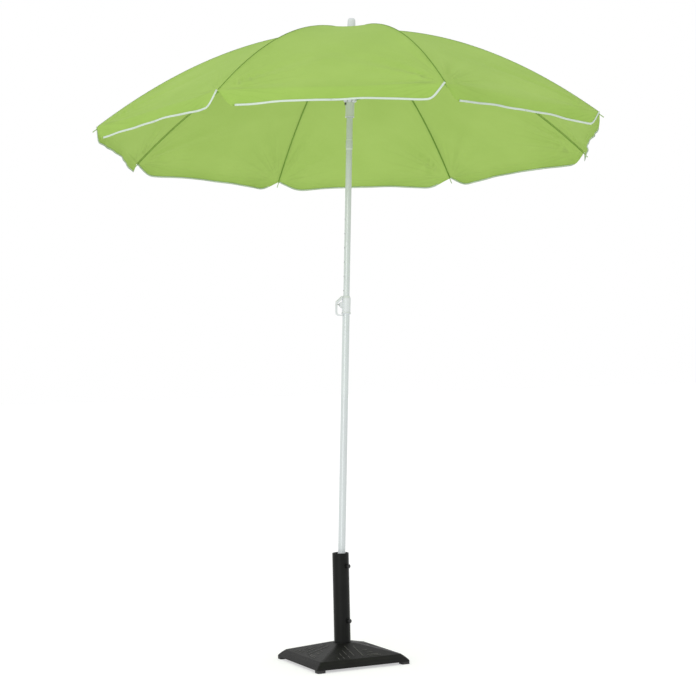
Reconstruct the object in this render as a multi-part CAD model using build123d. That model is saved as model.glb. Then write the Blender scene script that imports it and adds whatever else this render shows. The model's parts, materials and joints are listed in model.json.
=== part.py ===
from build123d import *
import os
from math import atan2, cos, degrees, hypot, radians, sin, sqrt, tan

# Garden parasol with a cast base: eight-rib canopy, two-piece height-adjustable pole, tilt joint.
#
# Units are millimetres. The row frame has its origin at the centre of the base on the floor, with
# +Z up and the base's sides along X and Y. Everything above the base is drawn upright in the pole
# frame, whose Z axis is the pole's own axis and whose origin is where that axis passes through the
# mouth of the base tube. POLE then leans it in the tube, as a pole clamped by side screws stands.

# ---------------------------------------------------------------- driving dimensions
BASE_SIDE = 345.0           # length of the cast base's edge at the floor
BASE_EDGE_Z = 9.0           # underside of the skirt, held up by the corner feet
BASE_BREAK_Z = 33.0         # where the steep skirt turns into the shallow pyramid
BASE_BREAK_INSET = 22.0
PYRAMID_TOP_Z = 66.0
PYRAMID_TOP_HALF = 33.0
BASE_WALL = 7.0
BASE_CORNER_R = 9.0
FOOT_SIDE = 30.0
FOOT_CORNER_R = 7.0
SOCKET_R = 32.0             # outside of the socket that holds the tube
SOCKET_TOP_Z = 67.0
SOCKET_FLOOR = (12.0, 16.0)

TUBE_R = 28.5
TUBE_BORE_R = 25.0
MOUTH_Z = 372.0             # top of the base tube

LINE_WIDTH = 1.5            # plain raised lines on the faces of the casting
LINE_PROUD, LINE_SUNK = 1.0, 1.0
UPHILL_LINES = [            # place across the face, and the two ends measured uphill from the break
    (-12, 14, 96), (18, 22, 62), (18, 70, 100), (40, 8, 26), (40, 36, 70), (60, 8, 24), (60, 32, 50),
    (80, 6, 20),
]
CROSS_LINES = [             # height up the face, and the two ends across it
    (12, -78, -34), (20, -70, -30), (38, -58, -34), (56, -46, -28),
]

SCREW_AZIMUTH = -70.0       # both clamp screws are on one side of the tube
SCREW_HEIGHTS = {"lower": 140.5, "upper": 328.0}
SCREW_R = 4.0               # M8
SCREW_HEAD_FLATS = 13.0
BOSS_FLATS = 15.0
BOSS_END = 33.5             # distance of the boss's face from the tube's axis
SCREW_HEAD = (34.5, 41.0)   # the head's faces, from the tube's axis

LEAN = 4.30                 # degrees between the pole and the vertical
LEAN_AZIMUTH = 32.0
POLE_TURN = -3.0            # the pole, with its finger loop, is turned by this in the tube
MOUTH_OFFSET = 8.0          # the pole's axis from the tube's axis, at the mouth
INSERTION = 250.0           # how far the pole reaches down into the tube

LOWER_R, LOWER_BORE_R = 12.5, 11.3
LOWER_TOP = 862.0
UPPER_R, UPPER_BORE_R = 11.0, 9.8
UPPER_BOTTOM = 705.0
UPPER_TOP = 1400.0

COLLAR_BOTTOM, COLLAR_TOP = 824.0, 887.0
COLLAR_R = 15.2
LOCK_Z = 855.0              # height of the locking pin
LOCK_PITCH = 50.0
LOCK_HOLES = 7
LOCK_PIN_R = 2.5
LOCK_SIDE = 180.0           # azimuth of the pin and its finger loop

TILT_Z = 1422.5             # axis of the tilt pin
KNUCKLE_R = 11.0
SHOULDER_Z = TILT_Z + KNUCKLE_R + 0.5
TONGUE_HALF = 8.0
TONGUE_THICKNESS = 7.4
FORK_SLOT = 8.0
SLEEVE = (1406.5, 1433.7)
SLEEVE_R, SLEEVE_BORE_R = 12.3, 11.25
TOP_POLE_END = 1812.0

RIB_COUNT = 8
RIB_START = -4.0            # azimuth of the first rib
FABRIC_TOP_Z = 1825.0       # outer face of the fabric on the pole's axis
FABRIC_CONE = 0.05          # the fabric falls by this times radius
FABRIC_DROOP = 0.4244e-3    # and by this times radius squared
FABRIC_THICKNESS = 1.2
FABRIC_INNER_R = 16.0
FABRIC_ROWS = 12            # flat strips from the crown to the rim
RIM_R = 900.0               # radius of the fabric's corners
RIB_TIP_R = 917.0
CANT = 1.9                  # the canopy sits this many degrees off square to the pole
CANT_AZIMUTH = -20.0        # the side that it rises to
PANEL_GAP = 0.25            # between two ribs' shares of the fabric and their middle line
VALANCE_DEPTH = 62.0
VALANCE_CORNER = 45.0       # length of the valance's cut corner along the rim
RIB_R = 1.5
RIB_BELOW_FABRIC = 5.4      # rib's centre line inside the fabric's outer face, square to it
CROWN_PIVOT = (18.0, 1815.0)
RUNNER_PIVOT = (19.0, 1578.0)
EYE_R = 3.2
EYE_THICKNESS = 4.0
PIN_R = 1.3
EYE_BORE_R = 1.38
RIB_BEND_R = 34.0           # the rib bends up from its eye to here, and is bowed from here on
SLOT_WIDTH = 4.6

STRETCHER_RADIUS = 430.0    # where the stretcher meets the rib
STRETCHER_R = 1.9
STRETCHER_OFFSET = 7.5      # the stretcher's upper end lies this far to one side of the rib
STUB_BELOW_RIB = 3.5        # the clip's stub, under the rib's centre line
UPPER_EYE_BORE_R = 1.5

RUNNER_BOTTOM, RUNNER_TOP = 1517.0, 1586.0
RUNNER_R, RUNNER_BORE_R = 15.5, 12.6
RUNNER_FLANGE_R = 23.0
CATCH_Z = 1563.0
CATCH_SIDE = 177.0


# ---------------------------------------------------------------- places and helpers
def pole_plane():
    """The pole frame: its origin at the tube's mouth, its Z along the leaning pole."""
    slope = tan(radians(LEAN))
    slope_x = slope * cos(radians(LEAN_AZIMUTH))
    slope_y = slope * sin(radians(LEAN_AZIMUTH))
    origin = (
        MOUTH_OFFSET * cos(radians(LEAN_AZIMUTH)),
        MOUTH_OFFSET * sin(radians(LEAN_AZIMUTH)),
        MOUTH_Z,
    )
    return Plane(origin=origin, x_dir=(1, 0, -slope_x), z_dir=(slope_x, slope_y, 1))


POLE = pole_plane().location * Rot(0, 0, POLE_TURN)


def save(name, *solids, place=None):
    """Write one sub-part, as a group where it holds several solids."""
    placed = [place * s if place else s for s in solids]
    shape = placed[0] if len(placed) == 1 else Compound(children=placed)
    export_step(shape, f"parts/{name}.step")


def rod(radius, bottom, top):
    return Pos(0, 0, bottom) * Cylinder(radius, top - bottom, align=(Align.CENTER, Align.CENTER, Align.MIN))


def tube(outer, bore, bottom, top):
    return rod(outer, bottom, top) - rod(bore, bottom - 1, top + 1)


def block(x, y, z):
    """A box from its three pairs of limits."""
    size = Box(x[1] - x[0], y[1] - y[0], z[1] - z[0], align=(Align.MIN, Align.MIN, Align.MIN))
    return Pos(x[0], y[0], z[0]) * size


def along_x(radius, start, end, z=0.0, y=0.0):
    """A rod along X between two distances."""
    return Pos(start, y, z) * Rot(0, 90, 0) * Cylinder(
        radius, end - start, align=(Align.CENTER, Align.CENTER, Align.MIN)
    )


def along_y(radius, length, x, z, y=0.0):
    """A rod along Y, centred on y."""
    return Pos(x, y, z) * Rot(90, 0, 0) * Cylinder(radius, length)


def hexagon_along_x(flats, start, end, z):
    side_face = Plane.YZ.offset(start) * RegularPolygon(flats / 2, 6, major_radius=False)
    return Pos(0, 0, z) * extrude(side_face, end - start)


def turned(shape, azimuth):
    return Rot(0, 0, azimuth) * shape


def ring_profile(points):
    """A body of revolution from its half outline in X and Z."""
    return revolve(Plane.XZ * make_face(Polyline(*points, close=True)), Axis.Z)


# ---------------------------------------------------------------- base
def base_levels():
    """Half side of the base at each height, from the floor edge to the pyramid's top."""
    half = BASE_SIDE / 2
    return [
        (BASE_EDGE_Z, half),
        (BASE_EDGE_Z + 5, half - 1.5),
        (BASE_BREAK_Z - 9, half - 11),
        (BASE_BREAK_Z, half - BASE_BREAK_INSET),
        (PYRAMID_TOP_Z, PYRAMID_TOP_HALF),
    ]


def square_loft(levels, corner):
    sections = [Pos(0, 0, z) * RectangleRounded(2 * half, 2 * half, corner) for z, half in levels]
    return loft(sections, ruled=True)


def raised_lines():
    """Plain raised lines on each face of the pyramid: some run uphill, and some across the face."""
    rise = PYRAMID_TOP_Z - BASE_BREAK_Z
    run = BASE_SIDE / 2 - BASE_BREAK_INSET - PYRAMID_TOP_HALF
    slope = degrees(atan2(rise, run))
    half = LINE_WIDTH / 2
    lines = []
    for across, low, high in UPHILL_LINES:
        lines.append(block((low, high), (across - half, across + half), (-LINE_SUNK, LINE_PROUD)))
    for uphill, left, right in CROSS_LINES:
        lines.append(block((uphill - half, uphill + half), (left, right), (-LINE_SUNK, LINE_PROUD)))
    edge = BASE_SIDE / 2 - BASE_BREAK_INSET
    face_place = Pos(-edge, 0, BASE_BREAK_Z) * Rot(0, -slope, 0)
    return [Rot(0, 0, 90 * quarter) * face_place * line for quarter in range(4) for line in lines]


def make_base_plate():
    levels = base_levels()
    body = square_loft(levels, BASE_CORNER_R)
    inner = [
        (BASE_EDGE_Z - 1, BASE_SIDE / 2 - BASE_WALL),
        (BASE_BREAK_Z - 14, BASE_SIDE / 2 - BASE_WALL - 9),
        (BASE_BREAK_Z - BASE_WALL, BASE_SIDE / 2 - BASE_WALL - BASE_BREAK_INSET),
        (PYRAMID_TOP_Z - BASE_WALL, PYRAMID_TOP_HALF),
    ]
    body -= square_loft(inner, 4.0)
    corner = BASE_SIDE / 2
    pad = block((corner - FOOT_SIDE - 4, corner), (corner - FOOT_SIDE - 4, corner), (BASE_EDGE_Z, 18))
    pad &= square_loft(levels, BASE_CORNER_R)
    for quarter in range(4):
        body += Rot(0, 0, 90 * quarter) * pad
    body += rod(SOCKET_R, SOCKET_FLOOR[0], SOCKET_TOP_Z)
    for line in raised_lines():
        body += line
    body -= rod(TUBE_R, SOCKET_FLOOR[1], SOCKET_TOP_Z + 5)
    body -= rod(5.3, 0, SOCKET_FLOOR[1] + 1)
    return body


def make_base_feet():
    """Four rubber feet under the corners and a round pad that covers the fixing bolt's head."""
    at = BASE_SIDE / 2 - FOOT_SIDE / 2 - 1
    foot = extrude(RectangleRounded(FOOT_SIDE, FOOT_SIDE, FOOT_CORNER_R), BASE_EDGE_Z)
    feet = [Rot(0, 0, 90 * quarter) * Pos(at, at, 0) * foot for quarter in range(4)]
    pad = rod(24, 0, SOCKET_FLOOR[0]) - rod(12.5, 3, SOCKET_FLOOR[0] + 1)
    return feet + [pad]


def screw_reach(height):
    """Distance of a clamp screw's flat tip from the tube's axis: 0.3 mm off the leaning pole."""
    offset = MOUTH_OFFSET - (MOUTH_Z - height) * tan(radians(LEAN))
    turn = radians(LEAN_AZIMUTH - SCREW_AZIMUTH)
    ahead, aside = offset * cos(turn), abs(offset * sin(turn))
    nearest = max(aside - SCREW_R, 0.0)
    return ahead + sqrt(LOWER_R**2 - nearest**2) + 0.35


def base_parts():
    save("base_plate", make_base_plate())
    save("base_feet", *make_base_feet())

    base_tube = tube(TUBE_R, TUBE_BORE_R, SOCKET_FLOOR[1], MOUTH_Z)
    base_tube = chamfer(base_tube.edges().group_by(Axis.Z)[-1], 0.8)
    bosses = []
    for name, z in SCREW_HEIGHTS.items():
        base_tube -= turned(along_x(SCREW_R + 0.08, 20, 30, z), SCREW_AZIMUTH)
        boss = hexagon_along_x(BOSS_FLATS, 25, BOSS_END, z) - rod(TUBE_R, z - 20, z + 20)
        boss -= along_x(SCREW_R + 0.08, 20, 40, z)
        bosses.append(turned(boss, SCREW_AZIMUTH))

        stud = along_x(SCREW_R, screw_reach(z), SCREW_HEAD[1] - 0.8, z)
        head = hexagon_along_x(SCREW_HEAD_FLATS, *SCREW_HEAD, z)
        head = chamfer(head.faces().sort_by(Axis.X)[-1].edges(), 0.8)
        head -= along_x(SCREW_R + 0.05, SCREW_HEAD[0] - 1, SCREW_HEAD[1] - 0.75, z)
        save(f"{name}_screw_stud", turned(stud, SCREW_AZIMUTH))
        save(f"{name}_screw_head", turned(head, SCREW_AZIMUTH))
    save("base_tube", base_tube)
    save("screw_bosses", *bosses)

    plug_top = SOCKET_FLOOR[1] + 14
    save("tube_plug", tube(TUBE_BORE_R, 5.0, SOCKET_FLOOR[1], plug_top))
    washer_bottom = SOCKET_FLOOR[0] - 1.6
    save("fixing_washer", tube(10.5, 5.3, washer_bottom, SOCKET_FLOOR[0]))
    head = Pos(0, 0, washer_bottom - 6.4) * extrude(RegularPolygon(8.5, 6, major_radius=False), 6.4)
    save("fixing_bolt", head + rod(5.0, washer_bottom - 1, plug_top))


# ---------------------------------------------------------------- lower pole and its collar
def make_height_collar():
    """A moulding over the lower pole's end, with a lug on one side that holds the locking pin."""
    collar = ring_profile([
        (UPPER_R + 0.15, COLLAR_BOTTOM),
        (COLLAR_R + 1.2, COLLAR_BOTTOM),
        (COLLAR_R + 1.2, COLLAR_BOTTOM + 4),
        (COLLAR_R - 0.6, COLLAR_BOTTOM + 6),
        (COLLAR_R, COLLAR_TOP - 17),
        (COLLAR_R - 0.2, COLLAR_TOP - 9),
        (COLLAR_R - 2.4, COLLAR_TOP - 2),
        (COLLAR_R - 3.2, COLLAR_TOP),
        (UPPER_R + 0.15, COLLAR_TOP),
    ])
    lug_outline = [
        (12.8, LOCK_Z - 14), (24, LOCK_Z - 5), (27, LOCK_Z + 1), (26, LOCK_Z + 5), (12.8, LOCK_Z + 13),
    ]
    lug = extrude(Plane.XZ * make_face(Polyline(*lug_outline, close=True)), 5.5, both=True)
    collar += turned(lug, LOCK_SIDE)
    collar -= rod(LOWER_R, COLLAR_BOTTOM - 1, LOWER_TOP)
    collar -= turned(along_x(LOCK_PIN_R + 0.1, 5, 30, LOCK_Z), LOCK_SIDE)
    collar -= turned(along_x(4.2, 14.4, 25, LOCK_Z), LOCK_SIDE)
    return collar


def make_finger_loop():
    """A D-shaped loop: a thick arm slopes out from the collar, and the foot curls back to the pole."""
    outer = [
        (15.6, 886), (17.5, 886), (37, 867.5), (39.2, 864), (39.2, 828), (37.6, 821.5), (31.5, 817),
        (13.6, 816.5),
    ]
    inner = [
        (13.6, 820.7), (29.5, 820.9), (33, 823.5), (34.6, 828), (34.6, 857), (31.5, 861), (18, 873.5),
        (15.6, 873.5),
    ]
    sketch = Plane.XZ * make_face(Polyline(*outer, *inner, close=True))
    loop = extrude(sketch, 4.2, both=True)
    loop = fillet(loop.edges().filter_by(Axis.Y), 0.6)
    return loop - along_x(LOCK_PIN_R, 30, 45, LOCK_Z)


def make_lock_spring():
    """A compression spring round the locking pin, between the pin's flange and the lug."""
    wire, coil, length, turns = 0.35, 3.45, 8.2, 4.5
    path = Helix(pitch=length / turns, height=length, radius=coil)
    section = Plane(origin=path @ 0, z_dir=path % 0) * Circle(wire)
    spring = sweep(section, path=path)
    return Pos(-16.3, 0, LOCK_Z) * Rot(0, -90, 0) * spring


def lower_pole_parts():
    bottom = -INSERTION + 4.1
    lower_pole = tube(LOWER_R, LOWER_BORE_R, bottom, LOWER_TOP)
    lower_pole -= turned(along_x(LOCK_PIN_R + 0.1, 5, 20, LOCK_Z), LOCK_SIDE)
    save("lower_pole", lower_pole, place=POLE)
    foot = rod(LOWER_R, -INSERTION, -INSERTION + 4) + rod(LOWER_BORE_R - 0.05, -INSERTION, -INSERTION + 24)
    save("pole_foot", chamfer(foot.edges().group_by(Axis.Z)[0], 0.8), place=POLE)
    save("pole_band", tube(LOWER_R + 1.0, LOWER_R, -8, 2.5), place=POLE)

    save("height_collar", make_height_collar(), place=POLE)
    save("finger_loop", turned(make_finger_loop(), LOCK_SIDE), place=POLE)
    pin = along_x(LOCK_PIN_R, 9.4, 39.4, LOCK_Z) + along_x(3.9, 14.7, 15.9, LOCK_Z)
    save("lock_pin", turned(pin, LOCK_SIDE), place=POLE)
    save("lock_spring", make_lock_spring(), place=POLE)


# ---------------------------------------------------------------- upper pole and tilt joint
def make_tilt_fork():
    """The knuckle on the upper pole: two cheeks, rounded about the tilt pin."""
    head = rod(UPPER_R, UPPER_TOP, TILT_Z)
    head += rod(UPPER_R, TILT_Z, TILT_Z + KNUCKLE_R + 1) & along_y(KNUCKLE_R, 40, 0, TILT_Z)
    head += rod(UPPER_BORE_R, UPPER_TOP - 28, UPPER_TOP)
    head -= block((-20, 20), (-FORK_SLOT / 2, FORK_SLOT / 2), (TILT_Z - 14, TILT_Z + 30))
    return head - along_y(2.5, 40, 0, TILT_Z)


def make_tilt_tongue():
    """The top pole's half of the joint: a tongue in the fork, a shoulder and a plug in the tube."""
    half = TONGUE_THICKNESS / 2
    tongue = block((-TONGUE_HALF, TONGUE_HALF), (-half, half), (TILT_Z, SHOULDER_Z + 1))
    tongue += along_y(TONGUE_HALF, TONGUE_THICKNESS, 0, TILT_Z)
    tongue += rod(UPPER_R, SHOULDER_Z, SHOULDER_Z + 3) + rod(UPPER_BORE_R, SHOULDER_Z + 3, SHOULDER_Z + 31)
    return tongue - along_y(2.56, 40, 0, TILT_Z)


def upper_pole_parts():
    upper_pole = tube(UPPER_R, UPPER_BORE_R, UPPER_BOTTOM, UPPER_TOP)
    for n in range(LOCK_HOLES):
        hole = along_x(LOCK_PIN_R + 0.3, 5, 20, LOCK_Z + n * LOCK_PITCH)
        upper_pole -= turned(hole, LOCK_SIDE)
    save("upper_pole", upper_pole, place=POLE)
    bush = rod(LOWER_BORE_R - 0.1, UPPER_BOTTOM - 10, UPPER_BOTTOM)
    bush += rod(UPPER_BORE_R, UPPER_BOTTOM, UPPER_BOTTOM + 18)
    bush -= rod(7, UPPER_BOTTOM - 11, UPPER_BOTTOM + 20)
    save("upper_pole_bush", bush, place=POLE)

    save("tilt_fork", make_tilt_fork(), place=POLE)
    save("tilt_pin", along_y(2.5, 2 * UPPER_R - 1, 0, TILT_Z), place=POLE)
    save("tilt_tongue", make_tilt_tongue(), place=POLE)
    sleeve = tube(SLEEVE_R, SLEEVE_BORE_R, *SLEEVE)
    save("tilt_sleeve", chamfer(sleeve.edges().group_by(Axis.Z)[-1], 0.3), place=POLE)
    save("top_pole", tube(UPPER_R, UPPER_BORE_R, SHOULDER_Z + 3, TOP_POLE_END), place=POLE)


# ---------------------------------------------------------------- crown and runner
def notched(hub, pivot, inner_r):
    """Cut a radial slot and a pin hole for each rib or stretcher."""
    for n in range(RIB_COUNT):
        slot = block((inner_r, 60), (-SLOT_WIDTH / 2, SLOT_WIDTH / 2), (pivot[1] - 40, pivot[1] + 40))
        pin_hole = along_y(PIN_R, 9, *pivot)
        hub -= turned(slot, azimuth(n))
        hub -= turned(pin_hole, azimuth(n))
    return hub


def pivot_pins(pivot):
    return [turned(along_y(PIN_R, 9, *pivot), azimuth(n)) for n in range(RIB_COUNT)]


def crown_and_runner_parts():
    crown_top = FABRIC_TOP_Z - 4.7
    crown = ring_profile([
        (0, TOP_POLE_END), (UPPER_R, TOP_POLE_END), (UPPER_R, 1790), (13.6, 1790), (13.6, 1801),
        (22.5, 1805), (25.5, 1808), (25.5, crown_top), (0, crown_top),
    ])
    crown -= rod(4.0, TOP_POLE_END - 1, crown_top + 1)
    save("crown", notched(crown, CROWN_PIVOT, 13.8), place=POLE)
    save("crown_pins", *pivot_pins(CROWN_PIVOT), place=POLE)
    save("fabric_washer", tube(23.5, 4.0, crown_top, crown_top + 1.4), place=POLE)

    flange = FABRIC_TOP_Z + 0.5
    cap = ring_profile([
        (0, flange), (23, flange), (23.5, flange + 1.2), (16.5, flange + 3.2), (14.6, flange + 5.5),
        (13.6, flange + 36), (12.6, flange + 40), (10, flange + 43.4), (5, flange + 45), (0, flange + 45.3),
    ])
    save("finial", cap + rod(4.0, TOP_POLE_END + 0.5, flange), place=POLE)

    pivot_z = RUNNER_PIVOT[1]
    runner = ring_profile([
        (RUNNER_BORE_R, RUNNER_BOTTOM), (RUNNER_R + 0.9, RUNNER_BOTTOM),
        (RUNNER_R + 0.9, RUNNER_BOTTOM + 3), (RUNNER_R, RUNNER_BOTTOM + 5), (RUNNER_R, pivot_z - 9),
        (RUNNER_FLANGE_R - 1.5, pivot_z - 6), (RUNNER_FLANGE_R, pivot_z - 4),
        (RUNNER_FLANGE_R, RUNNER_TOP - 1), (RUNNER_FLANGE_R - 1, RUNNER_TOP), (RUNNER_BORE_R, RUNNER_TOP),
    ])
    runner = notched(runner, RUNNER_PIVOT, 15.4)
    runner -= turned(along_x(2.6, 5, 25, CATCH_Z), CATCH_SIDE)
    save("runner", runner, place=POLE)
    save("runner_pins", *pivot_pins(RUNNER_PIVOT), place=POLE)
    catch = along_x(2.5, RUNNER_BORE_R + 0.3, 17, CATCH_Z) + along_x(4.5, 16, 19, CATCH_Z)
    save("runner_catch", turned(catch, CATCH_SIDE), place=POLE)


# ---------------------------------------------------------------- ribs, stretchers and fabric
def azimuth(n):
    return RIB_START + n * 360 / RIB_COUNT


def rise(n):
    """How far rib n stands above its even place, in degrees: the whole canopy sits off square."""
    return CANT * cos(radians(azimuth(n) - CANT_AZIMUTH))


def fabric_z(radius):
    return FABRIC_TOP_Z - FABRIC_CONE * radius - FABRIC_DROOP * radius**2


def fabric_slope(radius):
    return FABRIC_CONE + 2 * FABRIC_DROOP * radius


def rib_point(radius):
    """The rib's centre line under the fabric at this radius, before the rib's own rise."""
    slope = fabric_slope(radius)
    square_to = hypot(1, slope)
    x = radius - RIB_BELOW_FABRIC * slope / square_to
    return (x, 0, fabric_z(radius) - RIB_BELOW_FABRIC / square_to)


def stub_point(radius):
    """The stretcher's upper pivot when its clip is at this radius, just under the rib."""
    x, _, z = rib_point(radius)
    return x, z - STUB_BELOW_RIB


def raised_point(n, x, z):
    """A point of rib n's plane, turned about its crown pivot by the rib's rise."""
    turn = radians(rise(n))
    dx, dz = x - CROWN_PIVOT[0], z - CROWN_PIVOT[1]
    return (
        CROWN_PIVOT[0] + dx * cos(turn) - dz * sin(turn),
        CROWN_PIVOT[1] + dx * sin(turn) + dz * cos(turn),
    )


def stretcher_span(point):
    return hypot(point[0] - RUNNER_PIVOT[0], point[1] - RUNNER_PIVOT[1])


def clip_radius(n):
    """Where on rib n its clip sits, so that all the stretchers have one length."""
    target = stretcher_span(stub_point(STRETCHER_RADIUS))
    low, high = STRETCHER_RADIUS - 30, STRETCHER_RADIUS + 30
    for _ in range(40):
        middle = (low + high) / 2
        if stretcher_span(raised_point(n, *stub_point(middle))) < target:
            low = middle
        else:
            high = middle
    return middle


def make_rib():
    """One steel wire, bowed to the canopy's profile, with an eye at the crown."""
    x, z = CROWN_PIVOT
    bow = Spline(*[rib_point(RIB_BEND_R + (RIB_TIP_R - RIB_BEND_R) * n / 6) for n in range(7)])
    root = Spline((x + 1.6, 0, z + 0.5), bow @ 0, tangents=[(1, 0, 0.6), bow % 0])
    path = Wire([root, bow])
    rib = sweep(Plane(origin=path @ 0, z_dir=path % 0) * Circle(RIB_R), path=path)
    rib += along_y(EYE_R, EYE_THICKNESS, x, z)
    return rib - along_y(EYE_BORE_R, 20, x, z)


def make_rib_clip(radius):
    """A clip pressed on the rib, with the stub that the stretcher's eye hangs on."""
    x, z = stub_point(radius)
    _, _, rib_z = rib_point(radius)
    dip = degrees(atan2(fabric_slope(radius), 1))
    clip = Pos(x, 0, rib_z - 1.5) * Rot(0, dip, 0) * Box(11, 6.4, 6.6)
    channel = Pos(x, 0, rib_z) * Rot(0, 90 + dip, 0) * Cylinder(RIB_R + 0.12, 20)
    return clip - channel + along_y(1.3, 3.0, x, z, y=2.8)


def make_stretcher():
    """A straight wire with an eye at each end, splayed sideways to pass beside the rib."""
    x0, z0 = RUNNER_PIVOT
    x1, z1 = stub_point(STRETCHER_RADIUS)
    length = hypot(x1 - x0, z1 - z0)
    inset = 1.5 / length
    start = (x0 + (x1 - x0) * inset, STRETCHER_OFFSET * inset, z0 + (z1 - z0) * inset)
    end = (x1 - (x1 - x0) * inset, STRETCHER_OFFSET * (1 - inset), z1 - (z1 - z0) * inset)
    path = Line(start, end)
    wire = sweep(Plane(origin=start, z_dir=path % 0) * Circle(STRETCHER_R), path=path)
    body = wire + along_y(EYE_R, EYE_THICKNESS, x0, z0)
    body += along_y(EYE_R, EYE_THICKNESS, x1, z1, y=STRETCHER_OFFSET)
    body -= along_y(EYE_BORE_R, 20, x0, z0)
    return body - along_y(UPPER_EYE_BORE_R, EYE_THICKNESS + 1, x1, z1, y=STRETCHER_OFFSET)


def turned_about(pivot, angle):
    """A turn in the rib's plane about a pivot: a positive angle raises what is further out."""
    x, z = pivot
    return Pos(x, 0, z) * Rot(0, -angle, 0) * Pos(-x, 0, -z)


def stretcher_rise(n):
    """The turn that brings the even stretcher's upper eye to rib n's clip."""
    even = stub_point(STRETCHER_RADIUS)
    real = raised_point(n, *stub_point(clip_radius(n)))
    x0, z0 = RUNNER_PIVOT
    return degrees(atan2(real[1] - z0, real[0] - x0) - atan2(even[1] - z0, even[0] - x0))


def fabric_point(n, radius, depth=0.0):
    """A point of the fabric over rib n, at a depth inside its outer face, in the pole frame."""
    x, z = raised_point(n, radius - depth * 0.5, fabric_z(radius) - depth)
    turn = radians(azimuth(n))
    return Vector(x * cos(turn), x * sin(turn), z)


def fabric_chord(n, side, radius, depth=0.0):
    """The fabric's line from rib n to the middle of the gore beside it, short of its neighbour."""
    at_rib = fabric_point(n, radius, depth)
    to_next = fabric_point(n + side, radius, depth) - at_rib
    return at_rib, at_rib + to_next * 0.5 - to_next.normalized() * PANEL_GAP


def triangle(a, b, c):
    return Face(Wire.make_polygon([a, b, c], close=True))


def four_sided(a, b, c, d):
    """A four-cornered piece of fabric, as two flat triangles because its corners may not be level."""
    return [triangle(a, b, c), triangle(a, c, d)]


def half_gore(n, side):
    """The fabric from rib n to the middle of the next gore, with the valance that hangs from it."""
    radii = [FABRIC_INNER_R] + [RIM_R * k / FABRIC_ROWS for k in range(1, FABRIC_ROWS + 1)]
    outer = [fabric_chord(n, side, r) for r in radii]
    inner = [fabric_chord(n, side, r, FABRIC_THICKNESS) for r in radii]
    faces = []
    for (a, b), (c, d) in zip(outer, outer[1:]):
        faces += four_sided(a, c, d, b)
    for (a, b), (c, d) in zip(inner, inner[1:]):
        faces += four_sided(a, b, d, c)
    for (_, b), (_, d), (_, f), (_, h) in zip(outer, outer[1:], inner, inner[1:]):
        faces += four_sided(b, d, h, f)
    faces += four_sided(*outer[0], inner[0][1], inner[0][0])

    rim_out, rim_in = outer[-1], inner[-1]
    share = VALANCE_CORNER / (rim_out[1] - rim_out[0]).length
    drop = Vector(0, 0, VALANCE_DEPTH)
    hem_out = [rim_out[0] + (rim_out[1] - rim_out[0]) * share - drop, rim_out[1] - drop]
    hem_in = [rim_in[0] + (rim_in[1] - rim_in[0]) * share - drop, rim_in[1] - drop]
    faces += four_sided(rim_out[0], hem_out[0], hem_out[1], rim_out[1])
    faces += four_sided(rim_in[0], rim_in[1], hem_in[1], hem_in[0])
    faces += four_sided(rim_out[0], rim_in[0], hem_in[0], hem_out[0])
    faces += four_sided(hem_out[0], hem_in[0], hem_in[1], hem_out[1])
    faces += four_sided(rim_out[1], hem_out[1], hem_in[1], rim_in[1])
    return faces


def canopy_parts():
    rib, stretcher = make_rib(), make_stretcher()
    for n in range(RIB_COUNT):
        place = POLE * Rot(0, 0, azimuth(n))
        clip = make_rib_clip(clip_radius(n))
        save(f"rib_{n + 1}", rib, clip, place=place * turned_about(CROWN_PIVOT, rise(n)))
        save(f"stretcher_{n + 1}", stretcher, place=place * turned_about(RUNNER_PIVOT, stretcher_rise(n)))
        panel = Solid(Shell(half_gore(n, 1) + half_gore(n, -1)))
        save(f"canopy_panel_{n + 1}", panel, place=POLE)


os.makedirs("parts", exist_ok=True)
base_parts()
lower_pole_parts()
upper_pole_parts()
crown_and_runner_parts()
canopy_parts()
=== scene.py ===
"""Garden parasol: smooth sewn canopy, materials, studio light and camera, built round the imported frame."""
import bpy
import json
import math
import random
from mathutils import Matrix, Vector


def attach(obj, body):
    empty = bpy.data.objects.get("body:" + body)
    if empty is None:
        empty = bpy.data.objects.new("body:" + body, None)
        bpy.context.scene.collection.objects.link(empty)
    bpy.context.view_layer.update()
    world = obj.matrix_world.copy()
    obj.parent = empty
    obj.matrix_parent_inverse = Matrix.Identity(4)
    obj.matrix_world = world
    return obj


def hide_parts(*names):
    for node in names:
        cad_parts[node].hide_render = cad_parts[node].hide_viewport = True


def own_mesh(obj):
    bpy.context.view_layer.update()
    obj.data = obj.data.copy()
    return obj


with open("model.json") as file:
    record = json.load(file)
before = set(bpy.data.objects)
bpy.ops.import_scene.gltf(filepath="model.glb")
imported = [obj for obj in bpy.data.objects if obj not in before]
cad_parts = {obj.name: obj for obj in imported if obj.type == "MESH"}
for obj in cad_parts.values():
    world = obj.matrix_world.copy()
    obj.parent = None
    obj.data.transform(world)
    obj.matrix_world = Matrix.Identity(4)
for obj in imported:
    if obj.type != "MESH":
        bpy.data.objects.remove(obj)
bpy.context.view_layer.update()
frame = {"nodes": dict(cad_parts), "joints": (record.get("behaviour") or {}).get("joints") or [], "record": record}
JOINTS = {j["name"]: j for j in frame["joints"]}

# ---------------------------------------------------------------- the pole's own frame, from the joints
RIBS = 8
POLE_Z = Vector(JOINTS["pole_lift"]["axis"])
POLE_Y = Vector(JOINTS["canopy_tilt"]["axis"])
POLE_X = POLE_Y.cross(POLE_Z)
MOUTH = Vector(JOINTS["pole_spin"]["pos_m"])


def to_pole(p):
    """A world point in the pole's own frame, which starts at the black tube's mouth."""
    d = Vector(p) - MOUTH
    return Vector((d.dot(POLE_X), d.dot(POLE_Y), d.dot(POLE_Z)))


def from_pole(x, y, z):
    return MOUTH + POLE_X * x + POLE_Y * y + POLE_Z * z


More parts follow.
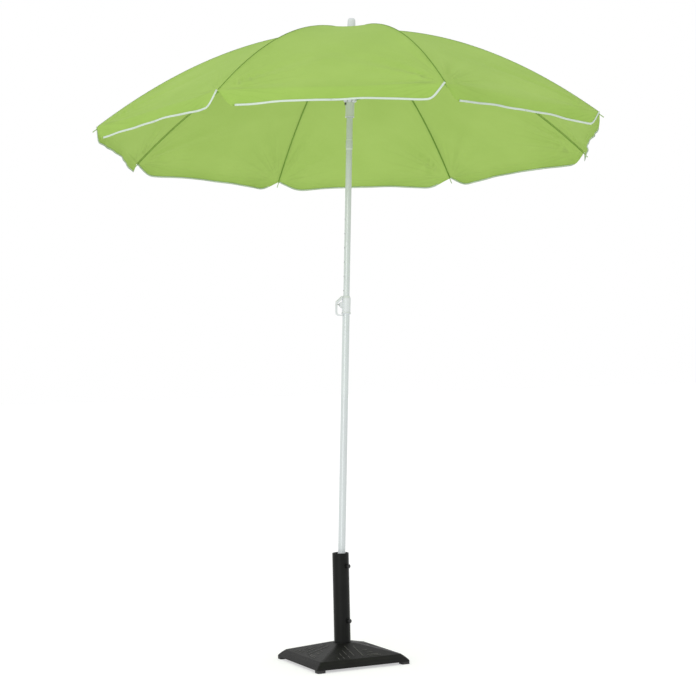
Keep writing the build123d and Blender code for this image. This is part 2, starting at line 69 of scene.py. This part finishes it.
def rib_axis(n):
    """The tangential axis of a rib's hinge, which also sets the rib's azimuth."""
    return Vector(JOINTS[f"rib_{n % RIBS + 1}_fold"]["axis"])


def rib_azimuth(n):
    axis = rib_axis(n)
    return math.atan2(-axis.dot(POLE_X), axis.dot(POLE_Y)) % (2 * math.pi)


FIRST_AZIMUTH = rib_azimuth(0)
GORE = 2 * math.pi / RIBS
CROWN_PIVOT = to_pole(JOINTS["rib_1_fold"]["pos_m"])
CROWN_PIVOT_R, CROWN_PIVOT_Z = math.hypot(CROWN_PIVOT.x, CROWN_PIVOT.y), CROWN_PIVOT.z

# ---------------------------------------------------------------- sizes, in metres
FABRIC_TOP = CROWN_PIVOT_Z + 0.010      # outer face of the fabric on the pole's axis
CONE, DROOP = 0.05, 0.4244              # the fabric falls by these times radius and radius squared
INNER_RADIUS = 0.008
RIM = 0.900                             # radius of the fabric's corners
SAG = 0.0135                            # how far the fabric hangs inside the chord between two ribs
SCALLOP = 0.010                         # the rim's middle is drawn in by this share of its radius
CORNER_DROP, MIDDLE_DROP = 0.051, 0.041  # hem below the level of the corners
CORNER = 0.115                          # width of a near cut corner, as a share of half a gore
WIDER_FROM, WIDER_OVER = 0.62, 0.30     # the cuts grow twice as wide over this part of the way round
ROUNDING = 0.35                         # how much of the cut is rounded off at the hem
FRONT, FAR_SHORT = math.radians(-112), 0.24     # the valance hangs shorter opposite this azimuth
BINDING_OUTSIDE, BINDING_INSIDE = 0.0066, 0.0042    # widths of the hem's binding on each face
BINDING_UP, BINDING_OFF, BINDING_THICK = 0.0029, 0.0003, 0.0011     # above the hem, off the cloth, thick
HEM_START, INNER_HEM_START = -0.84, -0.86       # the binding starts here, at each gore's left
SEAM_OUTSIDE, SEAM_INSIDE = 0.0014, 0.0026      # widths of the welts along a rib
SEAM_OFF, SEAM_THICK = 0.0002, 0.0007           # off the cloth, thick
SEAM_START, SEAM_END = 0.030, 0.896             # radii between which the welts run
CANT, CANT_AZIMUTH = math.radians(1.9), math.radians(-20)   # the canopy sits off square on the pole
AT_RIB = 0.985                          # the cloth's normal is taken no nearer to a rib than this
HALF_CHORD, SLANT = 0.344, 0.95         # half a gore at the rim, and the fabric's length down a rib
PLEAT_SHADE_DEPTH = 0.17                      # how strongly the painted shade of the pleats at the corners darkens the cloth
THREAD_WAVE = 0.0009                    # one over-and-under of the weave
CREASE_DEPTH, WAVE_DEPTH = 0.0050, 0.0022       # creases at the corners, and slow waves of the whole gore
CREASE_REACH, FAN_WIDTH = 0.20, 0.345   # how far the creases reach, and half the gore they fan over
VALANCE_HEIGHT = 0.075                  # of the valance in the fabric's own flat coordinates
VALANCE_BULGE, HEM_WAVE, HEM_RIPPLE = 0.016, 0.0035, 0.0020
ROWS, VALANCE_ROWS, COLUMNS = 46, 16, 22        # of the cloth's mesh
CROWDING = 1.35                         # how much closer together the columns lie at the rib
PYRAMID_TOP, PYRAMID_FOOT = 0.066, 0.033        # heights of the casting's sloping faces
PYRAMID_CAP, PYRAMID_EDGE = 0.033, 0.1505       # and how far they reach from the middle

rng = random.Random(11)
RIPPLES = [[(rng.uniform(0, 6.28), rng.uniform(0.7, 1.3)) for _ in range(6)] for _ in range(RIBS)]


def smooth(x):
    x = min(1.0, max(0.0, x))
    return x * x * (3 - 2 * x)


def fabric_z(radius):
    """Height of the fabric over a rib, before the canopy's cant."""
    return FABRIC_TOP - CONE * radius - DROOP * radius * radius


def over_rib(n, radius, above=0.0):
    """A point of the fabric on rib n, turned about the crown pivot by that rib's own rise."""
    azimuth = FIRST_AZIMUTH + n * GORE
    rise = CANT * math.cos(azimuth - CANT_AZIMUTH)
    slope = CONE + 2 * DROOP * radius
    square_to = math.hypot(1, slope)
    dx = radius + above * slope / square_to - CROWN_PIVOT_R
    dz = fabric_z(radius) + above / square_to - CROWN_PIVOT_Z
    x = CROWN_PIVOT_R + dx * math.cos(rise) - dz * math.sin(rise)
    z = CROWN_PIVOT_Z + dx * math.sin(rise) + dz * math.cos(rise)
    return Vector((x * math.cos(azimuth), x * math.sin(azimuth), z))


def ripple(gore, along, t):
    """Creases that fan out from the corners, and a slow wave along the hem, in metres."""
    phases = RIPPLES[gore % RIBS]
    depth = 0.0
    for side, (phase, strength) in ((-1, phases[0]), (1, phases[1])):
        across = (1 - side * t) * FAN_WIDTH * max(along, 0.05)
        up = 1.0 - along
        distance = math.hypot(across, up)
        angle = math.atan2(across, up + 1e-6)
        fan = math.sin(11 * angle + phase) + 0.6 * math.sin(19 * angle + 2 * phase)
        reach = smooth(distance / 0.10) * math.exp(-distance / CREASE_REACH)
        edge = smooth((1 - side * t) / 0.16)
        depth += CREASE_DEPTH * strength * fan * reach * edge
    slow = math.sin(4.2 * t + phases[2][0] + 5 * along) * math.cos(2.6 * t + phases[3][0])
    depth += WAVE_DEPTH * slow * smooth((along - 0.25) / 0.6) * (1 - abs(t) ** 3)
    return depth


def hem_drop(gore, t):
    """Depth of the hem below the corners' level: each end is cut away and rounded off."""
    azimuth = FIRST_AZIMUTH + (gore + 0.5 + 0.5 * t) * GORE
    far = (1 - math.cos(azimuth - FRONT)) / 2
    drop = MIDDLE_DROP + (CORNER_DROP - MIDDLE_DROP) * smooth((abs(t) - 0.25) / 0.6)
    cut = (1 - abs(t)) / (CORNER * (1 + smooth((far - WIDER_FROM) / WIDER_OVER)))
    if cut > 1 - ROUNDING:
        cut = min(cut, 1 + ROUNDING)
        cut -= (cut - 1 + ROUNDING) ** 2 / (4 * ROUNDING)
    return drop * cut * (1 - FAR_SHORT * far)


def rim_share(t):
    """How far out the rim's fold line lies, as a share of the corners' radius."""
    return 1 - SCALLOP * (1 - abs(t) ** 2.2)


def top_point(gore, share, t):
    """A point of one gore's top: share runs from the pole to the rim, t from rib to rib."""
    radius = share * RIM
    p, q = over_rib(gore, radius), over_rib(gore + 1, radius)
    mid = FIRST_AZIMUTH + (gore + 0.5) * GORE
    slope = CONE + 2 * DROOP * radius
    normal = Vector((slope * math.cos(mid), slope * math.sin(mid), 1)).normalized()
    hang = SAG * smooth(share / 0.50) * (1 - 0.35 * smooth((share - 0.7) / 0.3)) * (1 - t * t)
    crease = ripple(gore, share, t) * smooth((1 - abs(t)) / 0.05)
    return p.lerp(q, (t + 1) / 2) - normal * (hang + crease)


def gore_point(gore, v, t):
    """v from 0 to 1 runs down the top, and from 1 to 2 down the valance."""
    edge = rim_share(t)
    if v <= 1:
        inner = INNER_RADIUS / RIM
        share = inner + (edge - inner) * v
        return top_point(gore, share, t)
    rim = top_point(gore, edge, t)
    before = top_point(gore, edge - 0.02, t)
    out = Vector((rim.x - before.x, rim.y - before.y, 0))
    hem_z = over_rib(gore, RIM).lerp(over_rib(gore + 1, RIM), (t + 1) / 2).z - hem_drop(gore, t)
    depth = max(rim.z - hem_z, 0.0)
    w = v - 1
    bulge = min(VALANCE_BULGE, depth * 0.26)
    out.normalize()
    swing = bulge * math.sin(min(1.0, w * 1.15) * math.pi * 0.5) ** 0.8 * (1 - 0.45 * w)
    wave = HEM_WAVE * math.sin(7.5 * t + RIPPLES[gore % RIBS][4][0]) * w * w
    wave += HEM_RIPPLE * math.sin(17 * t + RIPPLES[gore % RIBS][5][0]) * w * w
    wave *= smooth((1 - abs(t)) / 0.2)
    return Vector((rim.x, rim.y, rim.z - depth * w)) + out * (swing + wave) * (1 if depth > 0.004 else 0)


def gore_normal(gore, v, t):
    dv, dt = 0.004, 0.004
    lo, hi = max(0.0, v - dv), min(2.0, v + dv)
    along = gore_point(gore, hi, t) - gore_point(gore, lo, t)
    across = gore_point(gore, v, min(1, t + dt)) - gore_point(gore, v, max(-1, t - dt))
    n = along.cross(across)
    return n.normalized() if n.length > 1e-12 else Vector((0, 0, 1))


def world_point(p):
    return from_pole(p.x, p.y, p.z)


def world_vector(n):
    return (POLE_X * n.x + POLE_Y * n.y + POLE_Z * n.z).normalized()


# ---------------------------------------------------------------- materials
def new_material(name):
    material = bpy.data.materials.new(name)
    material.use_nodes = True
    nodes, links = material.node_tree.nodes, material.node_tree.links
    shader = nodes["Principled BSDF"]
    return material, nodes, links, shader


def set_sockets(shader, **values):
    for key, value in values.items():
        shader.inputs[key.replace("_", " ")].default_value = value


def coordinates(nodes, kind="Object"):
    return nodes.new("ShaderNodeTexCoord").outputs[kind]


def noise(nodes, links, source, scale, detail=3.0, rough=0.55):
    node = nodes.new("ShaderNodeTexNoise")
    node.inputs["Scale"].default_value = scale
    node.inputs["Detail"].default_value = detail
    node.inputs["Roughness"].default_value = rough
    links.new(source, node.inputs["Vector"])
    return node


def ramp(nodes, links, source, stops):
    node = nodes.new("ShaderNodeValToRGB")
    elements = node.color_ramp.elements
    while len(elements) < len(stops):
        elements.new(0.5)
    for element, (position, color) in zip(elements, stops):
        element.position = position
        element.color = color if len(color) == 4 else (*color, 1)
    links.new(source, node.inputs["Fac"])
    return node


def bump(nodes, links, height, distance, strength=1.0, chain=None):
    node = nodes.new("ShaderNodeBump")
    node.inputs["Strength"].default_value = strength
    node.inputs["Distance"].default_value = distance
    links.new(height, node.inputs["Height"])
    if chain is not None:
        links.new(chain, node.inputs["Normal"])
    return node.outputs["Normal"]


def scalar_range(nodes, links, source, low, high):
    node = nodes.new("ShaderNodeMapRange")
    node.inputs["To Min"].default_value = low
    node.inputs["To Max"].default_value = high
    links.new(source, node.inputs["Value"])
    return node.outputs["Result"]


def painted_material(name, color, dark, roughness, coarse, fine, depth, metallic=0.0, coat=0.0,
                     specular=0.5):
    """Colour that varies slowly, uneven gloss and a fine surface texture."""
    material, nodes, links, shader = new_material(name)
    where = coordinates(nodes)
    slow = noise(nodes, links, where, coarse, 4)
    quick = noise(nodes, links, where, fine, 5, 0.6)
    tone = ramp(nodes, links, slow.outputs["Fac"], [(0.3, dark), (0.68, color)])
    links.new(tone.outputs["Color"], shader.inputs["Base Color"])
    gloss = scalar_range(nodes, links, quick.outputs["Fac"], roughness - 0.07, roughness + 0.09)
    links.new(gloss, shader.inputs["Roughness"])
    normal = bump(nodes, links, quick.outputs["Fac"], depth)
    links.new(normal, shader.inputs["Normal"])
    set_sockets(shader, Metallic=metallic, Specular_IOR_Level=specular)
    if coat:
        set_sockets(shader, Coat_Weight=coat, Coat_Roughness=0.12)
    return material


def arithmetic(nodes, links, operation, first, second):
    node = nodes.new("ShaderNodeMath")
    node.operation = operation
    for socket, value in zip(node.inputs, (first, second)):
        if isinstance(value, (int, float)):
            socket.default_value = value
        elif value is not None:
            links.new(value, socket)
    return node.outputs["Value"]


def lighter_lines(material, color):
    """Paint paler what stands proud of the pyramid's faces."""
    nodes, links = material.node_tree.nodes, material.node_tree.links
    shader = nodes["Principled BSDF"]
    split = nodes.new("ShaderNodeSeparateXYZ")
    links.new(coordinates(nodes), split.inputs["Vector"])
    across = [arithmetic(nodes, links, "ABSOLUTE", split.outputs[axis], None) for axis in ("X", "Y")]
    outermost = arithmetic(nodes, links, "MAXIMUM", *across)
    slope = (PYRAMID_TOP - PYRAMID_FOOT) / (PYRAMID_EDGE - PYRAMID_CAP)
    fall = arithmetic(nodes, links, "MULTIPLY", outermost, slope)
    height = arithmetic(nodes, links, "ADD", split.outputs["Z"], fall)
    proud = nodes.new("ShaderNodeMapRange")
    level = PYRAMID_FOOT + slope * PYRAMID_EDGE
    for name, value in (("From Min", level + 0.0004), ("From Max", level + 0.0008)):
        proud.inputs[name].default_value = value
    links.new(height, proud.inputs["Value"])
    inside = arithmetic(nodes, links, "LESS_THAN", outermost, PYRAMID_EDGE - 0.004)
    outside = arithmetic(nodes, links, "GREATER_THAN", outermost, PYRAMID_CAP + 0.002)
    mask = arithmetic(nodes, links, "MULTIPLY", proud.outputs["Result"], inside)
    mask = arithmetic(nodes, links, "MULTIPLY", mask, outside)
    mix = nodes.new("ShaderNodeMix")
    mix.data_type = "RGBA"
    mix.inputs["B"].default_value = (*color, 1)
    old = shader.inputs["Base Color"].links[0].from_socket
    links.new(old, mix.inputs["A"])
    links.new(mask, mix.inputs["Factor"])
    links.new(mix.outputs["Result"], shader.inputs["Base Color"])


def painted_pleat_shade(nodes, links, uv, color):
    """Painted shade: darker lines where the cloth is pulled into pleats, fanning out from the sheet's corner."""
    split = nodes.new("ShaderNodeSeparateXYZ")
    links.new(uv, split.inputs["Vector"])
    across = arithmetic(nodes, links, "SUBTRACT", split.outputs["X"], HALF_CHORD)
    up = arithmetic(nodes, links, "SUBTRACT", SLANT, split.outputs["Y"])
    angle = arithmetic(nodes, links, "ARCTAN2", across, up)
    squares = [arithmetic(nodes, links, "MULTIPLY", side, side) for side in (across, up)]
    distance = arithmetic(nodes, links, "POWER", arithmetic(nodes, links, "ADD", *squares), 0.5)
    fan = nodes.new("ShaderNodeTexNoise")
    fan.noise_dimensions = "2D"
    fan.inputs["Scale"].default_value = 1.0
    fan.inputs["Detail"].default_value = 2.0
    where = nodes.new("ShaderNodeCombineXYZ")
    links.new(arithmetic(nodes, links, "MULTIPLY", angle, 9.0), where.inputs["X"])
    links.new(arithmetic(nodes, links, "MULTIPLY", distance, 5.0), where.inputs["Y"])
    links.new(where.outputs["Vector"], fan.inputs["Vector"])
    line = ramp(nodes, links, fan.outputs["Fac"], [(0.53, (0, 0, 0)), (0.70, (1, 1, 1))])
    reach = ramp(nodes, links, distance, [(0.02, (0, 0, 0)), (0.06, (1, 1, 1)), (0.24, (0, 0, 0))])
    depth = arithmetic(nodes, links, "MULTIPLY", line.outputs["Color"], reach.outputs["Color"])
    depth = arithmetic(nodes, links, "MULTIPLY", depth, PLEAT_SHADE_DEPTH)
    mix = nodes.new("ShaderNodeMix")
    mix.data_type = "RGBA"
    mix.blend_type = "MULTIPLY"
    # the colour of the painted pleat shade
    mix.inputs["B"].default_value = (0.25, 0.32, 0.16, 1)
    links.new(color, mix.inputs["A"])
    links.new(depth, mix.inputs["Factor"])
    return mix.outputs["Result"]


def fabric_material(name, color, light, translucent, roughness=0.82, through_tint=(1, 1, 1)):
    """Plain woven polyester: threads at 0.9 mm, faint slubs, light passing through."""
    material, nodes, links, shader = new_material(name)
    uv = coordinates(nodes, "UV")
    split = nodes.new("ShaderNodeSeparateXYZ")
    links.new(uv, split.inputs["Vector"])
    threads = []
    for axis in ("X", "Y"):
        phase = arithmetic(nodes, links, "MULTIPLY", split.outputs[axis], 2 * math.pi / THREAD_WAVE)
        threads.append(arithmetic(nodes, links, "SINE", phase, None))
    weave = arithmetic(nodes, links, "MULTIPLY", *threads)
    where = coordinates(nodes)
    cloud = noise(nodes, links, where, 5.0, 4)
    slub = noise(nodes, links, where, 240.0, 2)
    tone = ramp(nodes, links, cloud.outputs["Fac"], [(0.25, color), (0.75, light)])
    fleck = nodes.new("ShaderNodeMix")
    fleck.data_type = "RGBA"
    fleck.blend_type = "MULTIPLY"
    fleck.inputs["Factor"].default_value = 0.16
    spread = ramp(nodes, links, slub.outputs["Fac"], [(0.35, (0.78, 0.82, 0.7)), (0.65, (1, 1, 1))])
    # the cloth's colour carries painted shade in the pleats at the corners
    links.new(painted_pleat_shade(nodes, links, uv, tone.outputs["Color"]), fleck.inputs["A"])
    links.new(spread.outputs["Color"], fleck.inputs["B"])
    links.new(fleck.outputs["Result"], shader.inputs["Base Color"])
    creases = noise(nodes, links, where, 16.0, 3)
    normal = bump(nodes, links, creases.outputs["Fac"], 0.0022, 0.35)
    normal = bump(nodes, links, weave, 0.00012, 0.6, normal)
    links.new(normal, shader.inputs["Normal"])
    set_sockets(shader, Roughness=roughness, Sheen_Weight=0.04, Sheen_Roughness=0.5)
    set_sockets(shader, Specular_IOR_Level=0.10)
    if translucent:
        through = nodes.new("ShaderNodeBsdfTranslucent")
        stops = [tuple(c * k for c, k in zip(stop, through_tint)) for stop in (color, light)]
        tinted = ramp(nodes, links, cloud.outputs["Fac"], [(0.25, stops[0]), (0.75, stops[1])])
        links.new(tinted.outputs["Color"], through.inputs["Color"])
        links.new(normal, through.inputs["Normal"])
        mix = nodes.new("ShaderNodeMixShader")
        mix.inputs["Fac"].default_value = translucent
        links.new(shader.outputs["BSDF"], mix.inputs[1])
        links.new(through.outputs["BSDF"], mix.inputs[2])
        links.new(mix.outputs["Shader"], nodes["Material Output"].inputs["Surface"])
    return material


GREEN, GREEN_LIGHT = (0.341, 0.541, 0.106), (0.373, 0.578, 0.122)
FABRIC = fabric_material("canopy_weave", GREEN, GREEN_LIGHT, 0.42, through_tint=(1.05, 0.89, 1.25))
# the welt's dark green is painted shade: the shadow of the seam's fold and the dimmer light through two layers of
# cloth
SHADED_SEAM = fabric_material("canopy_seam_painted_shade", (0.14, 0.29, 0.03), (0.18, 0.35, 0.045), 0.10)
BINDING = fabric_material("hem_binding", (0.66, 0.75, 0.66), (0.74, 0.83, 0.74), 0.25)
# the white enamel is given a grey colour: painted shade, darker than the enamel's own white
SHADED_WHITE_POLE = painted_material(
    "white_enamel_with_painted_shade", (0.53, 0.57, 0.575), (0.505, 0.54, 0.55), 0.26, 9, 260, 0.00006, coat=0.5)
# the white moulding is given a grey colour: painted shade, darker than the plastic's own white
SHADED_WHITE_PLASTIC = painted_material(
    "white_moulding_with_painted_shade", (0.62, 0.645, 0.665), (0.575, 0.60, 0.62), 0.40, 25, 700, 0.00010)
GREY_PLASTIC = painted_material(
    "dark_moulding", (0.07, 0.075, 0.075), (0.05, 0.052, 0.052), 0.45, 30, 700, 0.00010)
CASTING = painted_material(
    "black_casting", (0.010, 0.010, 0.0095), (0.0055, 0.0055, 0.005), 0.48, 14, 420, 0.00055,
    specular=0.15)
BLACK_TUBE = painted_material(
    "black_enamel", (0.008, 0.0085, 0.008), (0.005, 0.0055, 0.005), 0.32, 12, 300, 0.00022,
    specular=0.12)
BLACK_OXIDE = painted_material(
    "black_oxide", (0.035, 0.035, 0.036), (0.018, 0.018, 0.019), 0.36, 60, 900, 0.00010, metallic=0.5)
ZINC = painted_material(
    "zinc_plate", (0.62, 0.63, 0.62), (0.48, 0.49, 0.49), 0.34, 60, 1200, 0.00006, metallic=1.0)
# the wire's dark green is painted light: the green shade and green reflection under the canopy, on grey galvanised
# steel
SHADED_RIB_WIRE = painted_material(
    "galvanised_wire_painted_green_shade", (0.24, 0.41, 0.075), (0.18, 0.33, 0.05), 0.45, 30, 600, 0.00010, metallic=0.6)
RUBBER = painted_material(
    "black_rubber", (0.020, 0.020, 0.020), (0.012, 0.012, 0.012), 0.72, 40, 900, 0.00020)
lighter_lines(CASTING, (0.14, 0.14, 0.13))
FINISHES = {
    "base_casting": CASTING, "black_steel": BLACK_TUBE, "black_rubber": RUBBER,
    "screw_black": BLACK_OXIDE, "plated_steel": ZINC, "white_pole": SHADED_WHITE_POLE,
    "white_plastic": SHADED_WHITE_PLASTIC, "grey_plastic": GREY_PLASTIC, "rib_steel": SHADED_RIB_WIRE,
    "canopy_fabric": FABRIC,
}
for part in frame["record"]["subparts"]:
    node = frame["nodes"][part["node"]]
    node.data.materials.clear()
    node.data.materials.append(FINISHES[part["material_slot"]])


# ---------------------------------------------------------------- meshes
def make_object(name, vertices, faces, material, uvs=None, normals=None):
    mesh = bpy.data.meshes.new(name)
    mesh.from_pydata([tuple(v) for v in vertices], [], faces)
    mesh.materials.append(material)
    mesh.update()
    if uvs:
        layer = mesh.uv_layers.new(name="UVMap")
        for loop in mesh.loops:
            layer.data[loop.index].uv = uvs[loop.vertex_index]
    mesh.polygons.foreach_set("use_smooth", [True] * len(mesh.polygons))
    if normals:
        mesh.normals_split_custom_set_from_vertices([tuple(n) for n in normals])
    obj = bpy.data.objects.new(name, mesh)
    bpy.context.scene.collection.objects.link(obj)
    return obj


def row_values():
    """Values of v down the top and then down the valance."""
    top = [n / ROWS for n in range(ROWS + 1)]
    return top + [1 + n / VALANCE_ROWS for n in range(1, VALANCE_ROWS + 1)]


def column_values():
    """From one mid-gore over the rib to the next: (gore offset, t), closer together at the rib."""
    half = [n / COLUMNS for n in range(COLUMNS + 1)]
    left = [(-1, 1 - (1 - h) ** CROWDING) for h in half]
    right = [(0, -(1 - h ** CROWDING)) for h in half[1:]]
    return left + right


def canopy_sheet(n):
    """The cloth on one rib, from the middle of one gore to the middle of the next."""
    rows, columns = row_values(), column_values()
    vertices, normals, uvs = [], [], []
    for v in rows:
        for offset, t in columns:
            gore = (n + offset) % RIBS
            p = gore_point(gore, v, t)
            if abs(abs(t) - 1) < 1e-9:
                one = gore_normal((n - 1) % RIBS, v, 0.97)
                other = gore_normal(n, v, -0.97)
                normal = (one + other).normalized()
            else:
                normal = gore_normal(gore, v, t)
            vertices.append(world_point(p))
            normals.append(world_vector(normal))
            spread = (t if offset else t + 2) * HALF_CHORD * min(v, 1)
            uvs.append((spread, min(v, 1) * SLANT + max(v - 1, 0) * VALANCE_HEIGHT))
    width = len(columns)
    faces = []
    for i in range(len(rows) - 1):
        for j in range(width - 1):
            quad = [i * width + j, (i + 1) * width + j, (i + 1) * width + j + 1, i * width + j + 1]
            corners = [vertices[k] for k in quad]
            if (corners[0] - corners[1]).length < 1e-5 and (corners[2] - corners[3]).length < 1e-5:
                continue
            if (corners[0] - corners[1]).length < 1e-5:
                quad = [quad[0], quad[2], quad[3]]
            elif (corners[2] - corners[3]).length < 1e-5:
                quad = [quad[0], quad[1], quad[2]]
            faces.append(quad)
    return make_object(f"canopy_cloth_{n + 1}", vertices, faces, FABRIC, uvs, normals)


def ribbon(path, sides, width, thick):
    """A flat band along a path: sides gives the band's width direction at each point."""
    vertices, faces, uvs = [], [], []
    length = 0.0
    for i, (p, side, out) in enumerate(zip(path, sides[0], sides[1])):
        if i:
            length += (p - path[i - 1]).length
        for a, b in ((-0.5, 0), (-0.42, 1), (0.42, 1), (0.5, 0)):
            vertices.append(p + side * width * a + out * thick * b)
            uvs.append((length, width * a))
    for i in range(len(path) - 1):
        for k in range(4):
            a, b = i * 4 + k, i * 4 + (k + 1) % 4
            faces.append([a, b, b + 4, a + 4])
    faces.append([0, 1, 2, 3])
    last = (len(path) - 1) * 4
    faces.append([last + 3, last + 2, last + 1, last])
    return vertices, faces, uvs


def join_parts(parts):
    vertices, faces, uvs = [], [], []
    for v, f, u in parts:
        start = len(vertices)
        vertices += v
        uvs += u
        faces += [[start + k for k in face] for face in f]
    return vertices, faces, uvs


def hem_part(gore, t0, t1, outward, steps=46):
    """Binding along the hem between two values of t, on the outer or inner face."""
    path, up, out = [], [], []
    for i in range(steps + 1):
        t = t0 + (t1 - t0) * i / steps
        p = gore_point(gore, 2, t)
        n = gore_normal(gore, 1.97, min(AT_RIB, max(-AT_RIB, t)))
        ahead = gore_point(gore, 2, min(1, t + 0.01)) - gore_point(gore, 2, max(-1, t - 0.01))
        ahead.normalize()
        n = (n - ahead * n.dot(ahead)).normalized()
        lift = n.cross(ahead)
        if lift.z < 0:
            lift = -lift
        path.append(world_point(p + lift * BINDING_UP + n * outward * BINDING_OFF))
        up.append(world_vector(lift))
        out.append(world_vector(n * outward))
    width = BINDING_OUTSIDE if outward > 0 else BINDING_INSIDE
    return ribbon(path, (up, out), width, BINDING_THICK)


def hem_binding(n):
    """The pale tape sewn round the sheet's hem, on both faces."""
    left, right = (n - 1) % RIBS, n
    parts = [
        hem_part(left, 0.0, 1.0, 1),
        hem_part(right, HEM_START, 0.0, 1),
        hem_part(left, 0.0, 1.0, -1),
        hem_part(right, INNER_HEM_START, 0.0, -1),
    ]
    vertices, faces, uvs = join_parts(parts)
    return make_object(f"hem_binding_{n + 1}", vertices, faces, BINDING, uvs)


def seam(n, steps=60):
    """The welt along the rib, outside and inside, coloured darker as painted shade."""
    parts = []
    azimuth = FIRST_AZIMUTH + n * GORE
    tangent = Vector((-math.sin(azimuth), math.cos(azimuth), 0))
    for outward, wide in ((1, SEAM_OUTSIDE), (-1, SEAM_INSIDE)):
        path, side, out = [], [], []
        for i in range(steps + 1):
            r = SEAM_START + (SEAM_END - SEAM_START) * i / steps
            p = over_rib(n, r)
            normal = (over_rib(n, r, 0.01) - p).normalized()
            path.append(world_point(p + normal * SEAM_OFF * outward))
            side.append(world_vector(tangent))
            out.append(world_vector(normal * outward))
        parts.append(ribbon(path, (side, out), wide, SEAM_THICK))
    vertices, faces, uvs = join_parts(parts)
    return make_object(f"rib_seam_{n + 1}", vertices, faces, SHADED_SEAM, uvs)


def fold_away(obj, n):
    """Moves with rib n as the ribs fold, on a mesh of its own."""
    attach(obj, f"rib_{n + 1}")
    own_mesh(obj)


for n in range(RIBS):
    cloth = canopy_sheet(n)
    binding = hem_binding(n)
    welt = seam(n)
    fold_away(cloth, n)
    fold_away(binding, n)
    fold_away(welt, n)
    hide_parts(f"canopy_panel_{n + 1}")


# ---------------------------------------------------------------- floor, light and camera
def stage_floor(size=40.0):
    """A pale floor that can be looked through from below."""
    corners = [(-size, -size, 0), (size, -size, 0), (size, size, 0), (-size, size, 0)]
    mesh = bpy.data.meshes.new("floor")
    mesh.from_pydata(corners, [], [(0, 1, 2, 3)])
    floor = bpy.data.objects.new("floor", mesh)
    bpy.context.scene.collection.objects.link(floor)
    material, nodes, links, shader = new_material("pale_floor")
    set_sockets(shader, Base_Color=(0.55, 0.55, 0.55, 1), Roughness=0.9, Specular_IOR_Level=0.1)
    set_sockets(shader, Emission_Color=(1, 1, 1, 1), Emission_Strength=0.50)
    side = nodes.new("ShaderNodeNewGeometry")
    clear = nodes.new("ShaderNodeBsdfTransparent")
    mix = nodes.new("ShaderNodeMixShader")
    links.new(side.outputs["Backfacing"], mix.inputs["Fac"])
    links.new(shader.outputs["BSDF"], mix.inputs[1])
    links.new(clear.outputs["BSDF"], mix.inputs[2])
    links.new(mix.outputs["Shader"], nodes["Material Output"].inputs["Surface"])
    mesh.materials.append(material)


def area_light(name, place, target, size, power):
    data = bpy.data.lights.new(name, "AREA")
    data.shape = "SQUARE"
    data.size = size
    data.energy = power
    light = bpy.data.objects.new(name, data)
    light.location = place
    light.rotation_mode = "QUATERNION"
    light.rotation_quaternion = (Vector(target) - Vector(place)).to_track_quat("-Z", "Y")
    bpy.context.scene.collection.objects.link(light)


stage_floor()
world = bpy.data.worlds.new("studio")
bpy.context.scene.world = world
world.use_nodes = True
world.node_tree.nodes["Background"].inputs["Color"].default_value = (1, 1, 1, 1)
world.node_tree.nodes["Background"].inputs["Strength"].default_value = 1.0
area_light("key", (-4.8, -4.6, 1.9), (0.1, 0, 1.2), 3.0, 125)
area_light("top", (0.5, 1.5, 5.0), (0, 0, 1.5), 3.5, 5)

VIEW_AZIMUTH = math.radians(25.04)      # the base is turned by this to the line of sight
CAMERA_DISTANCE, CAMERA_HEIGHT = 5.678, 1.031
PAN, PITCH, ROLL = math.radians(0.419), math.radians(0.444), math.radians(-1.272)
SENSOR, LENS = 36.0, 85.345             # in mm
camera_data = bpy.data.cameras.new("camera")
camera_data.sensor_width = SENSOR
camera_data.lens = LENS
camera_data.clip_start, camera_data.clip_end = 0.1, 200
camera = bpy.data.objects.new("camera", camera_data)
bpy.context.scene.collection.objects.link(camera)
heading = PAN + VIEW_AZIMUTH
forward = Vector((math.sin(heading) * math.cos(PITCH), math.cos(heading) * math.cos(PITCH), math.sin(PITCH)))
right = forward.cross(Vector((0, 0, 1))).normalized()
up = right.cross(forward)
tilted_right = right * math.cos(ROLL) + up * math.sin(ROLL)
tilted_up = up * math.cos(ROLL) - right * math.sin(ROLL)
turn = Matrix((tilted_right, tilted_up, -forward)).transposed()
camera.rotation_mode = "QUATERNION"
camera.rotation_quaternion = turn.to_quaternion()
camera.location = (
    -CAMERA_DISTANCE * math.sin(VIEW_AZIMUTH), -CAMERA_DISTANCE * math.cos(VIEW_AZIMUTH), CAMERA_HEIGHT)
bpy.context.scene.camera = camera
bpy.context.scene.view_settings.view_transform = "Standard"
bpy.context.scene.view_settings.look = "None"
